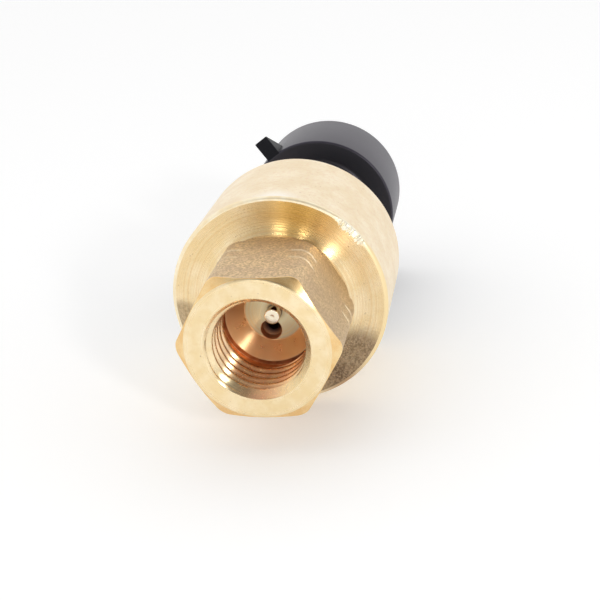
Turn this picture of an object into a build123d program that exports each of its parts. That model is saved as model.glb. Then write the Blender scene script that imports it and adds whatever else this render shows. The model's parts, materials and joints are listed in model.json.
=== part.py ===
from build123d import *
import os
from math import asin, cos, pi, radians, sin, tan

# Sealed brass pressure switch with a female flare port, a crimped switch capsule
# and a round three-way connector.  Millimetres, +Z up.  The switch axis is Y: the
# port mouth is at the origin and faces -Y, and the connector opens towards +Y.
# Places along the axis are called stations.

# ---- driving dimensions -----------------------------------------------------

# Hexagon (5/8 in across flats) and round collar
HEX_ACROSS_FLATS = 15.875
HEX_CORNER_ROUND = 1.7
HEX_CHAMFER_RADIUS = 7.85
HEX_CHAMFER_ANGLE = 30
HEX_END = 13.0
HEX_NECK_RADIUS = 8.45
HEX_NECK_LENGTH = 1.1
COLLAR_RADIUS = 12.5
COLLAR_FRONT_CHAMFER = 0.35
COLLAR_END = 29.1
COLLAR_REAR_ROUND = 0.5

# Flare port, 7/16-20 UNF internal thread
THREAD_PITCH = 1.27
THREAD_CREST_RADIUS = 4.95
THREAD_ROOT_RADIUS = 5.556
THREAD_CREST_LAND = 0.3
THREAD_ROOT_LAND = 0.16
THREAD_FIRST_GROOVE = 1.35
THREAD_GROOVES = 5
THREAD_END = 6.7
MOUTH_RADIUS = 5.75
RELIEF_RADIUS = 5.65
SEAT_START = 8.22
SEAT_RADIUS = 5.25
SEAT_FLOOR_RADIUS = 3.4
SEAT_FLOOR = SEAT_START + SEAT_RADIUS - SEAT_FLOOR_RADIUS

# Depressor pin and the two gas passages beside it
DEPRESSOR_RADIUS = 0.88
DEPRESSOR_TIP = 8.65
DEPRESSOR_END = 12.6
DEPRESSOR_TIP_ROUND = 0.22
PASSAGE_CIRCLE_RADIUS = 2.17
PASSAGE_ANGLE = 257.5
PASSAGE_MOUTH_RADIUS = 1.2
PASSAGE_MOUTH_DEPTH = 1.2
PASSAGE_RADIUS = 0.65

# Capsule cup inside the collar, closed at the back by a lip rolled over the connector
CUP_RADIUS = 11.0
CUP_FLOOR = 15.6
CHAMBER_RADIUS = 6.5
CHAMBER_FRONT = 14.9
LIP_START = 28.4
LIP_RADIUS = 9.5
INSERT_RADIUS = 10.95

# Diaphragm and its seal
SEAL_CENTRE_RADIUS = 8.6
SEAL_WIDTH = 1.5
SEAL_GROOVE_FRONT = 14.5
SEAL_GROOVE_WIDTH = 1.7
DIAPHRAGM_THICKNESS = 0.2

# Snap-acting drive
TRAVEL = 0.3
WORKING_GAP = 0.05
PLATE_RADIUS = 6.8
PLATE_THICKNESS = 0.5
PLATE_BUTTON_RADIUS = 1.6
PLATE_BUTTON_END = 16.8
PLATE_POCKET_RADIUS = 7.0
PLATE_POCKET_END = 16.6
DISC_RADIUS = 8.0
DISC_THICKNESS = 0.3
DISC_DOME_HEIGHT = 0.5
DISC_POCKET_RADIUS = 8.3
DISC_CENTRE = PLATE_BUTTON_END + WORKING_GAP
RING_END = 18.4
GUIDE_SPIGOT_OUTER = 8.25
GUIDE_SPIGOT_INNER = 7.3
GUIDE_SPIGOT_START = DISC_CENTRE + DISC_DOME_HEIGHT + DISC_THICKNESS + TRAVEL + WORKING_GAP
GUIDE_END = 19.9
GUIDE_BOSS_RADIUS = 2.2
GUIDE_BOSS_END = 20.7
PIN_RADIUS = 0.92
PIN_BORE_RADIUS = 0.97
PIN_START = DISC_CENTRE + DISC_THICKNESS + WORKING_GAP
PIN_CROWN = 0.15

# Contact set
ARM_FRONT = 21.75
ARM_THICKNESS = 0.25
ARM_BACK = ARM_FRONT + ARM_THICKNESS
ARM_PIVOT_X = -6.5
ARM_TAIL_X = -7.9
ARM_ROOT_HALF_WIDTH = 1.5
ARM_BLADE_HALF_WIDTH = 1.05
ARM_SHOULDER_X = -4.4
ARM_HOLE_RADIUS = 0.85
CONTACT_X = 5.2
CONTACT_RADIUS = 1.0
CONTACT_SHANK_RADIUS = 0.5
CONTACT_TIP_RADIUS = 1.3
MOVING_CONTACT_FRONT = 21.35
MOVING_CONTACT_BACK = 22.5
CONTACT_CROWN = 0.12
RIVET_SHANK_RADIUS = 0.7
RIVET_HEAD_RADIUS = 1.2
RIVET_HEAD_FRONT = 21.05
RIVET_HEAD_BACK = 21.65
RIVET_END = 23.6

# Terminals: flat blades 1.5 mm wide and 0.8 mm thick, 4 mm apart
BLADE_PITCH = 4.0
BLADE_WIDTH = 1.5
BLADE_THICKNESS = 0.8
BLADE_TIP = 53.2
BLADE_TIP_CHAMFER = 0.35
COMMON_PAD_FRONT = 22.3
COMMON_PAD_X = -8.3
COMMON_PAD_HALF_HEIGHT = 1.6
OPEN_PAD_FRONT = 23.6
OPEN_PAD_THICKNESS = 0.6
OPEN_PAD_X = 6.8
OPEN_CONTACT_FRONT = 23.2
CLOSED_PAD_FRONT = 20.45
CLOSED_PAD_BACK = 20.95
CLOSED_CONTACT_BACK = 21.3
PAD_HALF_HEIGHT = 1.3
STRAP_FRONT = 24.2
STRAP_LOW_Z = 3.1
STRAP_HIGH_Z = 4.6
STRAP_END_X = 7.8
STRAP_LEG_X = 7.0
FINGER_X = 3.9

# Moulded switch base, weather seal, potting and backing washer
BASE_CAVITY_RADIUS = 9.5
BASE_FLOOR = STRAP_FRONT + BLADE_THICKNESS
BASE_END = 27.0
WEATHER_SEAL_CENTRE_RADIUS = 9.3
WEATHER_SEAL_WIDTH = 1.2
WEATHER_SEAL_DEPTH = 1.0
POTTING_RADIUS = 5.6
POTTING_END = 28.6
WASHER_THICKNESS = 0.4
WASHER_BORE_RADIUS = 8.2

# Connector housing
FLANGE_END = LIP_START - WASHER_THICKNESS
NECK_RADIUS = 7.0
NECK_ROOT_FILLET = 0.8
SHROUD_START = 45.3
SHROUD_RADIUS = 10.25
SHROUD_END = 57.2
SOCKET_RADIUS = 8.7
SOCKET_FLOOR = 47.4
SHROUD_EDGE_ROUND = 0.35
LATCH_ANGLE = 126
LATCH_WIDTH = 2.0
LATCH_RADIUS = 12.95
LATCH_CREST_LENGTH = 0.3
LATCH_LENGTH = 3.5
KEY_ANGLES = (90, 235, 305)
KEY_WIDTH = 1.2
KEY_HEIGHT = 0.9

# ---- helpers ----------------------------------------------------------------


def station(y):
    """Cross-section plane at a station, with local x along +X and local y along +Z.

    Its normal is -Y, so a negative extrusion runs towards the connector.
    """
    return Plane.XZ.offset(-y)


def turned(*outline):
    """Closed outline of (station, radius) points in the plane that holds the axis."""
    with BuildSketch(Plane.YZ) as profile:
        with BuildLine():
            Polyline(*outline, close=True)
        make_face()
    return profile.sketch


def radial_plane(angle):
    """Plane through the axis at an angle from +X, local x along +Y, local y outwards."""
    across = (sin(radians(angle)), 0, -cos(radians(angle)))
    return Plane(origin=(0, 0, 0), x_dir=(0, 1, 0), z_dir=across)


def block(x, y, z, mode=Mode.ADD):
    """Rectangular block between pairs of limits along X, Y and Z."""
    centre = (sum(x) / 2, sum(y) / 2, sum(z) / 2)
    with Locations(centre):
        Box(x[1] - x[0], y[1] - y[0], z[1] - z[0], mode=mode)


def rod(x, z, y, radius, mode=Mode.ADD):
    """Cylinder along Y between two stations, centred at (x, z)."""
    with Locations(Location((x, sum(y) / 2, z), (90, 0, 0))):
        Cylinder(radius, y[1] - y[0], mode=mode)


def circles_at(part, y):
    """Circular edges of a part that lie at one station."""
    return part.edges().filter_by(GeomType.CIRCLE).filter_by_position(Axis.Y, y - 0.01, y + 0.01)


# ---- brass body -------------------------------------------------------------

hex_corner_radius = HEX_ACROSS_FLATS / 2 / cos(pi / 6)
chamfer_depth = (hex_corner_radius - HEX_CHAMFER_RADIUS) * tan(radians(HEX_CHAMFER_ANGLE))
countersink_depth = MOUTH_RADIUS - THREAD_CREST_RADIUS

with BuildPart() as port_body:
    with BuildSketch(station(0)):
        RegularPolygon(HEX_ACROSS_FLATS / 2, 6, major_radius=False)
    extrude(amount=-HEX_END)
    fillet(port_body.edges().filter_by(Axis.Y), HEX_CORNER_ROUND)
    # Corner chamfer at the front and the turned neck where the hexagon meets the collar
    corner_limit = turned(
        (0, 0),
        (0, HEX_CHAMFER_RADIUS),
        (chamfer_depth, hex_corner_radius),
        (HEX_END - HEX_NECK_LENGTH - 0.5, hex_corner_radius),
        (HEX_END - HEX_NECK_LENGTH, HEX_NECK_RADIUS),
        (HEX_END, HEX_NECK_RADIUS),
        (HEX_END, 0),
    )
    revolve(corner_limit, axis=Axis.Y, mode=Mode.INTERSECT)
    # Collar, cup and rolled lip
    collar = turned(
        (HEX_END, 0),
        (HEX_END, COLLAR_RADIUS - COLLAR_FRONT_CHAMFER),
        (HEX_END + COLLAR_FRONT_CHAMFER, COLLAR_RADIUS),
        (COLLAR_END, COLLAR_RADIUS),
        (COLLAR_END, LIP_RADIUS),
        (LIP_START, LIP_RADIUS),
        (LIP_START, CUP_RADIUS),
        (CUP_FLOOR, CUP_RADIUS),
        (CUP_FLOOR, CHAMBER_RADIUS),
        (CHAMBER_FRONT, CHAMBER_RADIUS),
        (CHAMBER_FRONT, 0),
    )
    revolve(collar, axis=Axis.Y)
    fillet(circles_at(port_body, COLLAR_END).sort_by(SortBy.RADIUS)[-1], COLLAR_REAR_ROUND)
    # Seal groove in the cup floor
    seal_groove = turned(
        (SEAL_GROOVE_FRONT, SEAL_CENTRE_RADIUS - SEAL_GROOVE_WIDTH / 2),
        (CUP_FLOOR, SEAL_CENTRE_RADIUS - SEAL_GROOVE_WIDTH / 2),
        (CUP_FLOOR, SEAL_CENTRE_RADIUS + SEAL_GROOVE_WIDTH / 2),
        (SEAL_GROOVE_FRONT, SEAL_CENTRE_RADIUS + SEAL_GROOVE_WIDTH / 2),
    )
    revolve(seal_groove, axis=Axis.Y, mode=Mode.SUBTRACT)
    # Port bore: countersink, thread crest, relief groove, 45 degree flare seat and floor
    port_bore = turned(
        (0, 0),
        (0, MOUTH_RADIUS),
        (countersink_depth, THREAD_CREST_RADIUS),
        (THREAD_END, THREAD_CREST_RADIUS),
        (THREAD_END, RELIEF_RADIUS),
        (SEAT_START, RELIEF_RADIUS),
        (SEAT_START, SEAT_RADIUS),
        (SEAT_FLOOR, SEAT_FLOOR_RADIUS),
        (SEAT_FLOOR, 0),
    )
    revolve(port_bore, axis=Axis.Y, mode=Mode.SUBTRACT)
    # Thread roots as rings, one pitch apart, between cylindrical crest lands
    groove_half_width = (THREAD_PITCH - THREAD_CREST_LAND) / 2
    for turn in range(THREAD_GROOVES):
        centre = THREAD_FIRST_GROOVE + turn * THREAD_PITCH
        root = turned(
            (centre - groove_half_width, THREAD_CREST_RADIUS),
            (centre - THREAD_ROOT_LAND / 2, THREAD_ROOT_RADIUS),
            (centre + THREAD_ROOT_LAND / 2, THREAD_ROOT_RADIUS),
            (centre + groove_half_width, THREAD_CREST_RADIUS),
        )
        revolve(root, axis=Axis.Y, mode=Mode.SUBTRACT)
    # Press hole for the depressor pin and the two stepped gas passages
    rod(0, 0, (SEAT_FLOOR, DEPRESSOR_END), DEPRESSOR_RADIUS, mode=Mode.SUBTRACT)
    with Locations(station(SEAT_FLOOR)):
        with PolarLocations(PASSAGE_CIRCLE_RADIUS, 2, start_angle=PASSAGE_ANGLE):
            CounterBoreHole(
                PASSAGE_RADIUS, PASSAGE_MOUTH_RADIUS, PASSAGE_MOUTH_DEPTH, CHAMBER_FRONT - SEAT_FLOOR
            )
port_body.part.label = "port_body"

with BuildPart() as depressor_pin:
    rod(0, 0, (DEPRESSOR_TIP, DEPRESSOR_END), DEPRESSOR_RADIUS)
    fillet(circles_at(depressor_pin, DEPRESSOR_TIP), DEPRESSOR_TIP_ROUND)
depressor_pin.part.label = "depressor_pin"

# ---- pressure seal and diaphragm --------------------------------------------

with BuildPart() as diaphragm_seal_ring:
    with BuildSketch(Plane.YZ):
        with Locations(((SEAL_GROOVE_FRONT + CUP_FLOOR) / 2, SEAL_CENTRE_RADIUS)):
            RectangleRounded(CUP_FLOOR - SEAL_GROOVE_FRONT, SEAL_WIDTH, 0.4)
    revolve(axis=Axis.Y)
diaphragm_seal_ring.part.label = "diaphragm_seal_ring"

diaphragm_back = CUP_FLOOR + DIAPHRAGM_THICKNESS

with BuildPart() as diaphragm:
    rod(0, 0, (CUP_FLOOR, diaphragm_back), INSERT_RADIUS)
diaphragm.part.label = "diaphragm"

# ---- snap-acting drive ------------------------------------------------------

with BuildPart() as disc_support_ring:
    ring = turned(
        (diaphragm_back, PLATE_POCKET_RADIUS),
        (diaphragm_back, INSERT_RADIUS),
        (RING_END, INSERT_RADIUS),
        (RING_END, DISC_POCKET_RADIUS),
        (PLATE_POCKET_END, DISC_POCKET_RADIUS),
        (PLATE_POCKET_END, PLATE_POCKET_RADIUS),
    )
    revolve(ring, axis=Axis.Y)
disc_support_ring.part.label = "disc_support_ring"

plate_front = diaphragm_back + WORKING_GAP

with BuildPart() as converter_plate:
    plate = turned(
        (plate_front, 0),
        (plate_front, PLATE_RADIUS),
        (plate_front + PLATE_THICKNESS, PLATE_RADIUS),
        (plate_front + PLATE_THICKNESS, PLATE_BUTTON_RADIUS),
        (PLATE_BUTTON_END, PLATE_BUTTON_RADIUS),
        (PLATE_BUTTON_END, 0),
    )
    revolve(plate, axis=Axis.Y)
converter_plate.part.label = "converter_plate"

with BuildPart() as snap_disc:
    # Shallow spherical dome, bowed towards the diaphragm
    rim_front = DISC_CENTRE + DISC_DOME_HEIGHT
    dome_radius = (DISC_RADIUS**2 + DISC_DOME_HEIGHT**2) / (2 * DISC_DOME_HEIGHT)
    half_angle = asin(DISC_RADIUS / dome_radius) / 2
    half_rise = dome_radius * (1 - cos(half_angle))
    half_radius = dome_radius * sin(half_angle)
    with BuildSketch(Plane.YZ):
        with BuildLine():
            ThreePointArc((DISC_CENTRE, 0), (DISC_CENTRE + half_rise, half_radius), (rim_front, DISC_RADIUS))
            Line((rim_front, DISC_RADIUS), (rim_front + DISC_THICKNESS, DISC_RADIUS))
            ThreePointArc(
                (rim_front + DISC_THICKNESS, DISC_RADIUS),
                (DISC_CENTRE + half_rise + DISC_THICKNESS, half_radius),
                (DISC_CENTRE + DISC_THICKNESS, 0),
            )
            Line((DISC_CENTRE + DISC_THICKNESS, 0), (DISC_CENTRE, 0))
        make_face()
    revolve(axis=Axis.Y)
snap_disc.part.label = "snap_disc"

with BuildPart() as pin_guide:
    guide = turned(
        (RING_END, PIN_BORE_RADIUS),
        (RING_END, GUIDE_SPIGOT_INNER),
        (GUIDE_SPIGOT_START, GUIDE_SPIGOT_INNER),
        (GUIDE_SPIGOT_START, GUIDE_SPIGOT_OUTER),
        (RING_END, GUIDE_SPIGOT_OUTER),
        (RING_END, INSERT_RADIUS),
        (GUIDE_END, INSERT_RADIUS),
        (GUIDE_END, GUIDE_BOSS_RADIUS),
        (GUIDE_BOSS_END, GUIDE_BOSS_RADIUS),
        (GUIDE_BOSS_END, PIN_BORE_RADIUS),
    )
    revolve(guide, axis=Axis.Y)
pin_guide.part.label = "pin_guide"

with BuildPart() as transfer_pin:
    pin_end = ARM_FRONT - WORKING_GAP
    rod(0, 0, (PIN_START, pin_end), PIN_RADIUS)
    fillet(transfer_pin.edges().filter_by(GeomType.CIRCLE), PIN_CROWN)
transfer_pin.part.label = "transfer_pin"

# ---- contact set ------------------------------------------------------------

with BuildPart() as contact_arm:
    with BuildSketch(station(ARM_FRONT)):
        with BuildLine():
            Polyline(
                (CONTACT_X, ARM_BLADE_HALF_WIDTH),
                (ARM_SHOULDER_X, ARM_BLADE_HALF_WIDTH),
                (ARM_PIVOT_X + RIVET_HEAD_RADIUS, ARM_ROOT_HALF_WIDTH),
                (ARM_TAIL_X, ARM_ROOT_HALF_WIDTH),
                (ARM_TAIL_X, -ARM_ROOT_HALF_WIDTH),
                (ARM_PIVOT_X + RIVET_HEAD_RADIUS, -ARM_ROOT_HALF_WIDTH),
                (ARM_SHOULDER_X, -ARM_BLADE_HALF_WIDTH),
                (CONTACT_X, -ARM_BLADE_HALF_WIDTH),
                close=True,
            )
        make_face()
        with Locations((CONTACT_X, 0)):
            Circle(CONTACT_TIP_RADIUS)
        with Locations((ARM_PIVOT_X, 0)):
            Circle(ARM_HOLE_RADIUS, mode=Mode.SUBTRACT)
        with Locations((CONTACT_X, 0)):
            Circle(CONTACT_SHANK_RADIUS, mode=Mode.SUBTRACT)
    extrude(amount=-ARM_THICKNESS)
contact_arm.part.label = "contact_arm"

with BuildPart() as moving_contact:
    rod(CONTACT_X, 0, (MOVING_CONTACT_FRONT, ARM_FRONT), CONTACT_RADIUS)
    rod(CONTACT_X, 0, (ARM_FRONT, ARM_BACK), CONTACT_SHANK_RADIUS)
    rod(CONTACT_X, 0, (ARM_BACK, MOVING_CONTACT_BACK), CONTACT_RADIUS)
    fillet(circles_at(moving_contact, MOVING_CONTACT_FRONT), CONTACT_CROWN)
    fillet(circles_at(moving_contact, MOVING_CONTACT_BACK), CONTACT_CROWN)
moving_contact.part.label = "moving_contact"

common_pad_back = COMMON_PAD_FRONT + BLADE_THICKNESS
open_pad_back = OPEN_PAD_FRONT + OPEN_PAD_THICKNESS

with BuildPart() as arm_rivet:
    rod(ARM_PIVOT_X, 0, (RIVET_HEAD_FRONT, RIVET_HEAD_BACK), RIVET_HEAD_RADIUS)
    rod(ARM_PIVOT_X, 0, (RIVET_HEAD_BACK, common_pad_back), RIVET_SHANK_RADIUS)
    rod(ARM_PIVOT_X, 0, (common_pad_back, RIVET_END), RIVET_HEAD_RADIUS)
    fillet(circles_at(arm_rivet, RIVET_HEAD_FRONT), CONTACT_CROWN)
arm_rivet.part.label = "arm_rivet"

with BuildPart() as open_contact:
    rod(CONTACT_X, 0, (OPEN_CONTACT_FRONT, OPEN_PAD_FRONT), CONTACT_RADIUS)
    rod(CONTACT_X, 0, (OPEN_PAD_FRONT, open_pad_back), CONTACT_SHANK_RADIUS)
    fillet(circles_at(open_contact, OPEN_CONTACT_FRONT), CONTACT_CROWN)
open_contact.part.label = "open_contact"

with BuildPart() as closed_contact:
    rod(CONTACT_X, 0, (CLOSED_PAD_FRONT, CLOSED_PAD_BACK), CONTACT_SHANK_RADIUS)
    rod(CONTACT_X, 0, (CLOSED_PAD_BACK, CLOSED_CONTACT_BACK), CONTACT_RADIUS)
    fillet(circles_at(closed_contact, CLOSED_CONTACT_BACK), CONTACT_CROWN)
closed_contact.part.label = "closed_contact"

# ---- terminals --------------------------------------------------------------


def blade(x, start):
    """Flat terminal blade centred at x, from a station to its chamfered tip."""
    with BuildSketch(station(start)) as section:
        with Locations((x, 0)):
            Rectangle(BLADE_WIDTH, BLADE_THICKNESS)
    extrude(section.sketch, amount=start - BLADE_TIP)
    tip = faces().sort_by(Axis.Y)[-1]
    chamfer(tip.edges(), BLADE_TIP_CHAMFER)


with BuildPart() as common_terminal:
    blade(-BLADE_PITCH, COMMON_PAD_FRONT)
    block(
        (COMMON_PAD_X, -BLADE_PITCH + BLADE_WIDTH / 2),
        (COMMON_PAD_FRONT, common_pad_back),
        (-COMMON_PAD_HALF_HEIGHT, COMMON_PAD_HALF_HEIGHT),
    )
    rod(ARM_PIVOT_X, 0, (COMMON_PAD_FRONT, common_pad_back), RIVET_SHANK_RADIUS, mode=Mode.SUBTRACT)
common_terminal.part.label = "common_terminal"

with BuildPart() as open_terminal:
    blade(BLADE_PITCH, OPEN_PAD_FRONT)
    block(
        (BLADE_PITCH - BLADE_WIDTH / 2, OPEN_PAD_X),
        (OPEN_PAD_FRONT, open_pad_back),
        (-PAD_HALF_HEIGHT, PAD_HALF_HEIGHT),
    )
    rod(CONTACT_X, 0, (OPEN_PAD_FRONT, open_pad_back), CONTACT_SHANK_RADIUS, mode=Mode.SUBTRACT)
open_terminal.part.label = "open_terminal"

with BuildPart() as closed_terminal:
    # Strap up and across the cavity floor, then a leg forward to the finger under the arm
    blade(0, STRAP_FRONT)
    strap = (STRAP_FRONT, BASE_FLOOR)
    block((-BLADE_WIDTH / 2, BLADE_WIDTH / 2), strap, (-BLADE_THICKNESS / 2, STRAP_HIGH_Z))
    block((-BLADE_WIDTH / 2, STRAP_END_X), strap, (STRAP_LOW_Z, STRAP_HIGH_Z))
    block((STRAP_LEG_X, STRAP_END_X), (CLOSED_PAD_FRONT, BASE_FLOOR), (STRAP_LOW_Z, STRAP_HIGH_Z))
    block((FINGER_X, STRAP_END_X), (CLOSED_PAD_FRONT, CLOSED_PAD_BACK), (-PAD_HALF_HEIGHT, STRAP_HIGH_Z))
    rod(CONTACT_X, 0, (CLOSED_PAD_FRONT, CLOSED_PAD_BACK), CONTACT_SHANK_RADIUS, mode=Mode.SUBTRACT)
closed_terminal.part.label = "closed_terminal"


def blade_slots(start, end):
    """Cut the three blade slots between two stations."""
    for x in (-BLADE_PITCH, 0, BLADE_PITCH):
        block(
            (x - BLADE_WIDTH / 2, x + BLADE_WIDTH / 2),
            (start, end),
            (-BLADE_THICKNESS / 2, BLADE_THICKNESS / 2),
            mode=Mode.SUBTRACT,
        )


# ---- moulded base, weather seal and potting ---------------------------------

weather_seal_inner = WEATHER_SEAL_CENTRE_RADIUS - WEATHER_SEAL_WIDTH / 2
weather_seal_outer = WEATHER_SEAL_CENTRE_RADIUS + WEATHER_SEAL_WIDTH / 2

with BuildPart() as switch_base:
    base = turned(
        (GUIDE_END, BASE_CAVITY_RADIUS),
        (GUIDE_END, INSERT_RADIUS),
        (BASE_END, INSERT_RADIUS),
        (BASE_END, weather_seal_outer),
        (BASE_END - WEATHER_SEAL_DEPTH, weather_seal_outer),
        (BASE_END - WEATHER_SEAL_DEPTH, weather_seal_inner),
        (BASE_END, weather_seal_inner),
        (BASE_END, 0),
        (BASE_FLOOR, 0),
        (BASE_FLOOR, BASE_CAVITY_RADIUS),
    )
    revolve(base, axis=Axis.Y)
    blade_slots(BASE_FLOOR, BASE_END)
switch_base.part.label = "switch_base"

with BuildPart() as weather_seal_ring:
    with BuildSketch(Plane.YZ):
        with Locations((BASE_END - WEATHER_SEAL_DEPTH / 2, WEATHER_SEAL_CENTRE_RADIUS)):
            RectangleRounded(WEATHER_SEAL_DEPTH, WEATHER_SEAL_WIDTH - 0.1, 0.35)
    revolve(axis=Axis.Y)
weather_seal_ring.part.label = "weather_seal_ring"

with BuildPart() as terminal_potting:
    rod(0, 0, (BASE_END, POTTING_END), POTTING_RADIUS)
    blade_slots(BASE_END, POTTING_END)
terminal_potting.part.label = "terminal_potting"

with BuildPart() as crimp_washer:
    washer = turned(
        (FLANGE_END, WASHER_BORE_RADIUS),
        (FLANGE_END, INSERT_RADIUS),
        (LIP_START, INSERT_RADIUS),
        (LIP_START, WASHER_BORE_RADIUS),
    )
    revolve(washer, axis=Axis.Y)
crimp_washer.part.label = "crimp_washer"

# ---- connector housing ------------------------------------------------------

with BuildPart() as connector_housing:
    outside = turned(
        (BASE_END, POTTING_RADIUS),
        (BASE_END, INSERT_RADIUS),
        (FLANGE_END, INSERT_RADIUS),
        (FLANGE_END, NECK_RADIUS),
        (SHROUD_START, NECK_RADIUS),
        (SHROUD_START, SHROUD_RADIUS),
        (SHROUD_END, SHROUD_RADIUS),
        (SHROUD_END, SOCKET_RADIUS),
        (SOCKET_FLOOR, SOCKET_RADIUS),
        (SOCKET_FLOOR, 0),
        (POTTING_END, 0),
        (POTTING_END, POTTING_RADIUS),
    )
    revolve(outside, axis=Axis.Y)
    neck_roots = circles_at(connector_housing, FLANGE_END) + circles_at(connector_housing, SHROUD_START)
    fillet(neck_roots.filter_by(lambda edge: abs(edge.radius - NECK_RADIUS) < 0.01), NECK_ROOT_FILLET)
    fillet(circles_at(connector_housing, SHROUD_END), SHROUD_EDGE_ROUND)
    shroud_front = circles_at(connector_housing, SHROUD_START).sort_by(SortBy.RADIUS)[-1]
    fillet(shroud_front, SHROUD_EDGE_ROUND)
    # Latch ramp for the mating plug: steep towards the port, sloping away from the socket
    with BuildSketch(radial_plane(LATCH_ANGLE)):
        with BuildLine():
            Polyline(
                (SHROUD_START, SOCKET_RADIUS + 0.5),
                (SHROUD_START, LATCH_RADIUS),
                (SHROUD_START + LATCH_CREST_LENGTH, LATCH_RADIUS),
                (SHROUD_START + LATCH_LENGTH, SHROUD_RADIUS - 0.1),
                (SHROUD_START + LATCH_LENGTH, SOCKET_RADIUS + 0.5),
                close=True,
            )
        make_face()
    extrude(amount=LATCH_WIDTH / 2, both=True)
    # Keying ribs inside the socket
    for angle in KEY_ANGLES:
        with BuildSketch(radial_plane(angle)):
            with BuildLine():
                Polyline(
                    (SOCKET_FLOOR, SOCKET_RADIUS - KEY_HEIGHT),
                    (SHROUD_END - 2, SOCKET_RADIUS - KEY_HEIGHT),
                    (SHROUD_END - 2, SOCKET_RADIUS + 0.3),
                    (SOCKET_FLOOR, SOCKET_RADIUS + 0.3),
                    close=True,
                )
            make_face()
        extrude(amount=KEY_WIDTH / 2, both=True)
    blade_slots(POTTING_END, SOCKET_FLOOR)
connector_housing.part.label = "connector_housing"

# ---- export -----------------------------------------------------------------

pieces = (
    port_body,
    depressor_pin,
    diaphragm_seal_ring,
    diaphragm,
    disc_support_ring,
    converter_plate,
    snap_disc,
    pin_guide,
    transfer_pin,
    contact_arm,
    moving_contact,
    arm_rivet,
    open_contact,
    closed_contact,
    common_terminal,
    open_terminal,
    closed_terminal,
    switch_base,
    weather_seal_ring,
    terminal_potting,
    crimp_washer,
    connector_housing,
)
os.makedirs("parts", exist_ok=True)
for piece in pieces:
    export_step(piece.part, f"parts/{piece.part.label}.step")
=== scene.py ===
import json
from math import atan2, cos, pi, radians, sin, tan

import bmesh
import bpy
import numpy as np
from mathutils import Matrix, Vector


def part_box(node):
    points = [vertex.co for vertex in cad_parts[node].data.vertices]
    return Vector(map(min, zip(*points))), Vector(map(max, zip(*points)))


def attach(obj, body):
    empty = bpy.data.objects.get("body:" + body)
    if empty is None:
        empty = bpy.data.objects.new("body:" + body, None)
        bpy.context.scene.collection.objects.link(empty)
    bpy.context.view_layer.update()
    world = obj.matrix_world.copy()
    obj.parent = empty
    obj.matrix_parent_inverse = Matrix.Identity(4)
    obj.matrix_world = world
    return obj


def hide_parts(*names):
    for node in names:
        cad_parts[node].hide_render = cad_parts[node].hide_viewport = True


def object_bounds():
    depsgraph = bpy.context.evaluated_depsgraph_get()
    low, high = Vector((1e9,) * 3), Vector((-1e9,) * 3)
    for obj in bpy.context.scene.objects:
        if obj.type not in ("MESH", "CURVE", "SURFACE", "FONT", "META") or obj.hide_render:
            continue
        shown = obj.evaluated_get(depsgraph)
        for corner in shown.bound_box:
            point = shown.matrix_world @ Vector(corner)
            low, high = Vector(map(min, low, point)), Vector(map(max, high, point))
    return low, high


# Looks of a brass pressure switch.  The frame is in metres with +Z up; the switch axis is Y, the
# port mouth is at the origin and faces -Y.  Outlines below are in millimetres, as (station, radius):
# a station is a place along the axis.

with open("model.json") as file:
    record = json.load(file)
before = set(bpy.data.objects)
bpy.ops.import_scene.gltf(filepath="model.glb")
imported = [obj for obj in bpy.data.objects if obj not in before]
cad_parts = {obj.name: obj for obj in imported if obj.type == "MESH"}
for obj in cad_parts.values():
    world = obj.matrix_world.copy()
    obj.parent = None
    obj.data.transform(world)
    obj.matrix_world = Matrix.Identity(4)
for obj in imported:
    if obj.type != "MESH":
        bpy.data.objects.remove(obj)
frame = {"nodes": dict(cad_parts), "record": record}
cad_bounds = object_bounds()
MM = 0.001

# ---- sizes ------------------------------------------------------------------

COLLAR_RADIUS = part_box("port_body")[1].x / MM
COLLAR_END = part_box("port_body")[1].y / MM
SHROUD_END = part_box("connector_housing")[1].y / MM
FLANGE_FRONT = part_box("connector_housing")[0].y / MM
PIN_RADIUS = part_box("depressor_pin")[1].x / MM
PIN_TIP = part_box("depressor_pin")[0].y / MM
PIN_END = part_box("depressor_pin")[1].y / MM

HEX_APOTHEM = 15.875 / 2
HEX_CORNER_ROUND = 1.7
FACE_RADIUS = 7.85
FACE_EDGE_ROUND = 0.2
CHAMFER_SLOPE = tan(radians(30))
HEX_END = 13.0
NECK_START = 11.4
NECK_FULL = 12.2
NECK_RADIUS = 8.25
NECK_ROOT_DEPTH = 0.42
NECK_ROOT_REACH = 1.9
MARK_STATIONS = (6.4, 8.45)
MARK_DEPTH = 0.2
MARK_SPREAD = 12
COLLAR_CHAMFER = 0.42
CHIPS_ANGLE = 43.5
CHIPS_SPREAD = 8.5
CHIPS_DEEPEST = 0.6

THREAD_PITCH = 1.27
THREAD_CREST = 4.95
THREAD_DEPTH = 0.606
THREAD_END = 6.7
THREAD_ROWS = 14
THREAD_PHASE = 0.687
MOUTH_RADIUS = 5.75
EDGE = 0.05
RELIEF_RADIUS = 5.65
SEAT_START = 8.22
SEAT_RADIUS = 5.1
SEAT_FLOOR = 10.07
SEAT_FLOOR_RADIUS = 3.4
PASSAGE_CIRCLE = 2.17
PASSAGE_ANGLES = (77.5, 257.5)
PASSAGE_MOUTH_RADIUS = 1.2
PASSAGE_MOUTH_DEPTH = 1.2
PASSAGE_RADIUS = 0.65

CUP_RADIUS = 11.0
CUP_FLOOR = 15.6
CHAMBER_RADIUS = 6.5
CHAMBER_FRONT = 14.9
SEAL_GROOVE_FLOOR = 14.5
SEAL_GROOVE_INNER = 7.75
SEAL_GROOVE_OUTER = 9.45
LIP_START = 28.4
LIP_RADIUS = 9.5

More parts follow.
